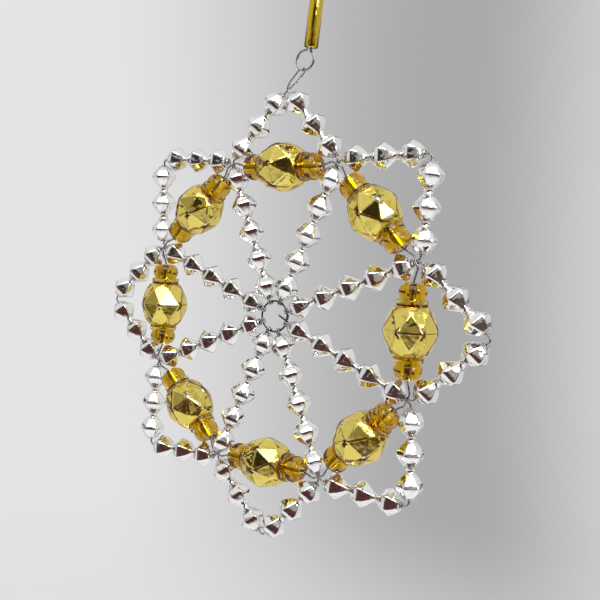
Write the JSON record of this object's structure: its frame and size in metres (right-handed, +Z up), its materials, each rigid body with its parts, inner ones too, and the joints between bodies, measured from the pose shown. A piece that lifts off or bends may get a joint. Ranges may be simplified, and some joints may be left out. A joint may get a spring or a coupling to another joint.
{
  "type": "beaded star ornament",
  "caption": "Hanging star of silvered glass bead rods on wire, with gold and amber beads in a ring and a hook to hang it by.",
  "frame": {"origin": "inside top of the hanger's hook, where what it hangs from touches the wire", "axes": "+Z up, the star in the XZ plane with its front to -Y, hub straight below the link of the two eyes"},
  "size_m": [0.0824, 0.01, 0.1133],
  "materials": {
    "silvered_glass": "clear blown glass, silvered inside",
    "gold_silvered_glass": "pale gold mirror under clear blown glass",
    "amber_glass": "clear amber glass",
    "steel_wire": "drawn bright steel wire",
    "gold_tube": "gold-lined glass tube"
  },
  "bodies": {
    "hanger": {"hanger_wire": "steel_wire"},
    "tube": {"hanger_tube": "gold_tube"},
    "star": {"petal_wire_1": "steel_wire", "petal_wire_2": "steel_wire", "petal_wire_3": "steel_wire", "petal_wire_4": "steel_wire", "petal_wire_5": "steel_wire", "petal_wire_6": "steel_wire", "petal_wire_7": "steel_wire", "petal_wire_8": "steel_wire", "ring_wire": "steel_wire", "hub_ring": "steel_wire"},
    "gold_bead_1": {"gold_bead_1": "gold_silvered_glass"},
    "gold_bead_2": {"gold_bead_2": "gold_silvered_glass"},
    "gold_bead_3": {"gold_bead_3": "gold_silvered_glass"},
    "gold_bead_4": {"gold_bead_4": "gold_silvered_glass"},
    "gold_bead_5": {"gold_bead_5": "gold_silvered_glass"},
    "gold_bead_6": {"gold_bead_6": "gold_silvered_glass"},
    "gold_bead_7": {"gold_bead_7": "gold_silvered_glass"},
    "gold_bead_8": {"gold_bead_8": "gold_silvered_glass"},
    "petal_rod_1_left": {"petal_rod_1_left": "silvered_glass"},
    "petal_rod_1_right": {"petal_rod_1_right": "silvered_glass"},
    "petal_rod_2_left": {"petal_rod_2_left": "silvered_glass"},
    "petal_rod_2_right": {"petal_rod_2_right": "silvered_glass"},
    "petal_rod_3_left": {"petal_rod_3_left": "silvered_glass"},
    "petal_rod_3_right": {"petal_rod_3_right": "silvered_glass"},
    "petal_rod_4_left": {"petal_rod_4_left": "silvered_glass"},
    "petal_rod_4_right": {"petal_rod_4_right": "silvered_glass"},
    "petal_rod_5_left": {"petal_rod_5_left": "silvered_glass"},
    "petal_rod_5_right": {"petal_rod_5_right": "silvered_glass"},
    "petal_rod_6_left": {"petal_rod_6_left": "silvered_glass"},
    "petal_rod_6_right": {"petal_rod_6_right": "silvered_glass"},
    "petal_rod_7_left": {"petal_rod_7_left": "silvered_glass"},
    "petal_rod_7_right": {"petal_rod_7_right": "silvered_glass"},
    "petal_rod_8_left": {"petal_rod_8_left": "silvered_glass"},
    "petal_rod_8_right": {"petal_rod_8_right": "silvered_glass"},
    "seed_bead_1_left": {"seed_bead_1_left": "amber_glass"},
    "seed_bead_1_right": {"seed_bead_1_right": "amber_glass"},
    "seed_bead_2_left": {"seed_bead_2_left": "amber_glass"},
    "seed_bead_2_right": {"seed_bead_2_right": "amber_glass"},
    "seed_bead_3_left": {"seed_bead_3_left": "amber_glass"},
    "seed_bead_3_right": {"seed_bead_3_right": "amber_glass"},
    "seed_bead_4_left": {"seed_bead_4_left": "amber_glass"},
    "seed_bead_4_right": {"seed_bead_4_right": "amber_glass"},
    "seed_bead_5_left": {"seed_bead_5_left": "amber_glass"},
    "seed_bead_5_right": {"seed_bead_5_right": "amber_glass"},
    "seed_bead_6_left": {"seed_bead_6_left": "amber_glass"},
    "seed_bead_6_right": {"seed_bead_6_right": "amber_glass"},
    "seed_bead_7_left": {"seed_bead_7_left": "amber_glass"},
    "seed_bead_7_right": {"seed_bead_7_right": "amber_glass"},
    "seed_bead_8_left": {"seed_bead_8_left": "amber_glass"},
    "seed_bead_8_right": {"seed_bead_8_right": "amber_glass"},
    "spoke_rod_1": {"spoke_rod_1": "silvered_glass"},
    "spoke_rod_2": {"spoke_rod_2": "silvered_glass"},
    "spoke_rod_3": {"spoke_rod_3": "silvered_glass"},
    "spoke_rod_4": {"spoke_rod_4": "silvered_glass"},
    "spoke_rod_5": {"spoke_rod_5": "silvered_glass"},
    "spoke_rod_6": {"spoke_rod_6": "silvered_glass"},
    "spoke_rod_7": {"spoke_rod_7": "silvered_glass"},
    "spoke_rod_8": {"spoke_rod_8": "silvered_glass"}
  },
  "joints": [
    {"name": "star_swing", "type": "hinge", "parent": "hanger", "child": "star", "pos_m": [0, 0, -0.02701], "axis": [1, 0, 0], "range_deg": [-75, 75]},
    {"name": "tube_turn", "type": "hinge", "parent": "hanger", "child": "tube", "pos_m": [0.0009, 0, -0.01557], "axis": [0, 0, 1], "continuous": true},
    {"name": "gold_bead_1_turn", "type": "hinge", "parent": "star", "child": "gold_bead_1", "pos_m": [-0.00207, 0, -0.04435], "axis": [0.9972, 0, 0.0753], "continuous": true},
    {"name": "gold_bead_2_turn", "type": "hinge", "parent": "star", "child": "gold_bead_2", "pos_m": [0.01788, 0, -0.0509], "axis": [0.7584, 0, -0.6518], "continuous": true},
    {"name": "gold_bead_3_turn", "type": "hinge", "parent": "star", "child": "gold_bead_3", "pos_m": [0.02735, 0, -0.06963], "axis": [0.0753, 0, -0.9972], "continuous": true},
    {"name": "gold_bead_4_turn", "type": "hinge", "parent": "star", "child": "gold_bead_4", "pos_m": [0.0208, 0, -0.08957], "axis": [-0.6518, 0, -0.7584], "continuous": true},
    {"name": "gold_bead_5_turn", "type": "hinge", "parent": "star", "child": "gold_bead_5", "pos_m": [0.00207, 0, -0.09904], "axis": [-0.9972, 0, -0.0753], "continuous": true},
    {"name": "gold_bead_6_turn", "type": "hinge", "parent": "star", "child": "gold_bead_6", "pos_m": [-0.01788, 0, -0.09249], "axis": [-0.7584, 0, 0.6518], "continuous": true},
    {"name": "gold_bead_7_turn", "type": "hinge", "parent": "star", "child": "gold_bead_7", "pos_m": [-0.02735, 0, -0.07376], "axis": [-0.0753, 0, 0.9972], "continuous": true},
    {"name": "gold_bead_8_turn", "type": "hinge", "parent": "star", "child": "gold_bead_8", "pos_m": [-0.0208, 0, -0.05382], "axis": [0.6518, 0, 0.7584], "continuous": true},
    {"name": "petal_rod_1_left_turn", "type": "hinge", "parent": "star", "child": "petal_rod_1_left", "pos_m": [-0.00863, 0, -0.03739], "axis": [0.6138, 0, 0.7895], "continuous": true},
    {"name": "petal_rod_1_right_turn", "type": "hinge", "parent": "star", "child": "petal_rod_1_right", "pos_m": [0.00338, 0, -0.03648], "axis": [-0.7254, 0, 0.6883], "continuous": true},
    {"name": "petal_rod_2_left_turn", "type": "hinge", "parent": "star", "child": "petal_rod_2_left", "pos_m": [0.01815, 0, -0.04133], "axis": [0.9923, 0, 0.1242], "continuous": true},
    {"name": "petal_rod_2_right_turn", "type": "hinge", "parent": "star", "child": "petal_rod_2_right", "pos_m": [0.02729, 0, -0.04919], "axis": [-0.0263, 0, 0.9997], "continuous": true},
    {"name": "petal_rod_3_left_turn", "type": "hinge", "parent": "star", "child": "petal_rod_3_left", "pos_m": [0.03431, 0, -0.06306], "axis": [0.7895, 0, -0.6138], "continuous": true},
    {"name": "petal_rod_3_right_turn", "type": "hinge", "parent": "star", "child": "petal_rod_3_right", "pos_m": [0.03521, 0, -0.07508], "axis": [0.6883, 0, 0.7254], "continuous": true},
    {"name": "petal_rod_4_left_turn", "type": "hinge", "parent": "star", "child": "petal_rod_4_left", "pos_m": [0.03036, 0, -0.08985], "axis": [0.1242, 0, -0.9923], "continuous": true},
    {"name": "petal_rod_4_right_turn", "type": "hinge", "parent": "star", "child": "petal_rod_4_right", "pos_m": [0.02251, 0, -0.09899], "axis": [0.9997, 0, 0.0263], "continuous": true},
    {"name": "petal_rod_5_left_turn", "type": "hinge", "parent": "star", "child": "petal_rod_5_left", "pos_m": [0.00863, 0, -0.106], "axis": [-0.6138, 0, -0.7895], "continuous": true},
    {"name": "petal_rod_5_right_turn", "type": "hinge", "parent": "star", "child": "petal_rod_5_right", "pos_m": [-0.00338, 0, -0.10691], "axis": [0.7254, 0, -0.6883], "continuous": true},
    {"name": "petal_rod_6_left_turn", "type": "hinge", "parent": "star", "child": "petal_rod_6_left", "pos_m": [-0.01815, 0, -0.10206], "axis": [-0.9923, 0, -0.1242], "continuous": true},
    {"name": "petal_rod_6_right_turn", "type": "hinge", "parent": "star", "child": "petal_rod_6_right", "pos_m": [-0.02729, 0, -0.0942], "axis": [0.0263, 0, -0.9997], "continuous": true},
    {"name": "petal_rod_7_left_turn", "type": "hinge", "parent": "star", "child": "petal_rod_7_left", "pos_m": [-0.03431, 0, -0.08033], "axis": [-0.7895, 0, 0.6138], "continuous": true},
    {"name": "petal_rod_7_right_turn", "type": "hinge", "parent": "star", "child": "petal_rod_7_right", "pos_m": [-0.03521, 0, -0.06831], "axis": [-0.6883, 0, -0.7254], "continuous": true},
    {"name": "petal_rod_8_left_turn", "type": "hinge", "parent": "star", "child": "petal_rod_8_left", "pos_m": [-0.03036, 0, -0.05354], "axis": [-0.1242, 0, 0.9923], "continuous": true},
    {"name": "petal_rod_8_right_turn", "type": "hinge", "parent": "star", "child": "petal_rod_8_right", "pos_m": [-0.02251, 0, -0.0444], "axis": [-0.9997, 0, -0.0263], "continuous": true},
    {"name": "seed_bead_1_left_turn", "type": "hinge", "parent": "star", "child": "seed_bead_1_left", "pos_m": [-0.00855, 0, -0.04484], "axis": [0.9972, 0, 0.0753], "continuous": true},
    {"name": "seed_bead_1_right_turn", "type": "hinge", "parent": "star", "child": "seed_bead_1_right", "pos_m": [0.00442, 0, -0.04386], "axis": [0.9972, 0, 0.0753], "continuous": true},
    {"name": "seed_bead_2_left_turn", "type": "hinge", "parent": "star", "child": "seed_bead_2_left", "pos_m": [0.01295, 0, -0.04666], "axis": [0.7584, 0, -0.6518], "continuous": true},
    {"name": "seed_bead_2_right_turn", "type": "hinge", "parent": "star", "child": "seed_bead_2_right", "pos_m": [0.02281, 0, -0.05513], "axis": [0.7584, 0, -0.6518], "continuous": true},
    {"name": "seed_bead_3_left_turn", "type": "hinge", "parent": "star", "child": "seed_bead_3_left", "pos_m": [0.02686, 0, -0.06315], "axis": [0.0753, 0, -0.9972], "continuous": true},
    {"name": "seed_bead_3_right_turn", "type": "hinge", "parent": "star", "child": "seed_bead_3_right", "pos_m": [0.02784, 0, -0.07611], "axis": [0.0753, 0, -0.9972], "continuous": true},
    {"name": "seed_bead_4_left_turn", "type": "hinge", "parent": "star", "child": "seed_bead_4_left", "pos_m": [0.02504, 0, -0.08464], "axis": [-0.6518, 0, -0.7584], "continuous": true},
    {"name": "seed_bead_4_right_turn", "type": "hinge", "parent": "star", "child": "seed_bead_4_right", "pos_m": [0.01656, 0, -0.0945], "axis": [-0.6518, 0, -0.7584], "continuous": true},
    {"name": "seed_bead_5_left_turn", "type": "hinge", "parent": "star", "child": "seed_bead_5_left", "pos_m": [0.00855, 0, -0.09855], "axis": [-0.9972, 0, -0.0753], "continuous": true},
    {"name": "seed_bead_5_right_turn", "type": "hinge", "parent": "star", "child": "seed_bead_5_right", "pos_m": [-0.00442, 0, -0.09953], "axis": [-0.9972, 0, -0.0753], "continuous": true},
    {"name": "seed_bead_6_left_turn", "type": "hinge", "parent": "star", "child": "seed_bead_6_left", "pos_m": [-0.01295, 0, -0.09673], "axis": [-0.7584, 0, 0.6518], "continuous": true},
    {"name": "seed_bead_6_right_turn", "type": "hinge", "parent": "star", "child": "seed_bead_6_right", "pos_m": [-0.02281, 0, -0.08826], "axis": [-0.7584, 0, 0.6518], "continuous": true},
    {"name": "seed_bead_7_left_turn", "type": "hinge", "parent": "star", "child": "seed_bead_7_left", "pos_m": [-0.02686, 0, -0.08024], "axis": [-0.0753, 0, 0.9972], "continuous": true},
    {"name": "seed_bead_7_right_turn", "type": "hinge", "parent": "star", "child": "seed_bead_7_right", "pos_m": [-0.02784, 0, -0.06728], "axis": [-0.0753, 0, 0.9972], "continuous": true},
    {"name": "seed_bead_8_left_turn", "type": "hinge", "parent": "star", "child": "seed_bead_8_left", "pos_m": [-0.02504, 0, -0.05875], "axis": [0.6518, 0, 0.7584], "continuous": true},
    {"name": "seed_bead_8_right_turn", "type": "hinge", "parent": "star", "child": "seed_bead_8_right", "pos_m": [-0.01656, 0, -0.04889], "axis": [0.6518, 0, 0.7584], "continuous": true},
    {"name": "spoke_rod_1_turn", "type": "hinge", "parent": "star", "child": "spoke_rod_1", "pos_m": [-0.00745, 0, -0.05696], "axis": [-0.4512, 0, 0.8924], "continuous": true},
    {"name": "spoke_rod_2_turn", "type": "hinge", "parent": "star", "child": "spoke_rod_2", "pos_m": [0.00515, 0, -0.05601], "axis": [0.312, 0, 0.9501], "continuous": true},
    {"name": "spoke_rod_3_turn", "type": "hinge", "parent": "star", "child": "spoke_rod_3", "pos_m": [0.01474, 0, -0.06424], "axis": [0.8924, 0, 0.4512], "continuous": true},
    {"name": "spoke_rod_4_turn", "type": "hinge", "parent": "star", "child": "spoke_rod_4", "pos_m": [0.01569, 0, -0.07685], "axis": [0.9501, 0, -0.312], "continuous": true},
    {"name": "spoke_rod_5_turn", "type": "hinge", "parent": "star", "child": "spoke_rod_5", "pos_m": [0.00745, 0, -0.08643], "axis": [0.4512, 0, -0.8924], "continuous": true},
    {"name": "spoke_rod_6_turn", "type": "hinge", "parent": "star", "child": "spoke_rod_6", "pos_m": [-0.00515, 0, -0.08739], "axis": [-0.312, 0, -0.9501], "continuous": true},
    {"name": "spoke_rod_7_turn", "type": "hinge", "parent": "star", "child": "spoke_rod_7", "pos_m": [-0.01474, 0, -0.07915], "axis": [-0.8924, 0, -0.4512], "continuous": true},
    {"name": "spoke_rod_8_turn", "type": "hinge", "parent": "star", "child": "spoke_rod_8", "pos_m": [-0.01569, 0, -0.06654], "axis": [-0.9501, 0, 0.312], "continuous": true}
  ]
}
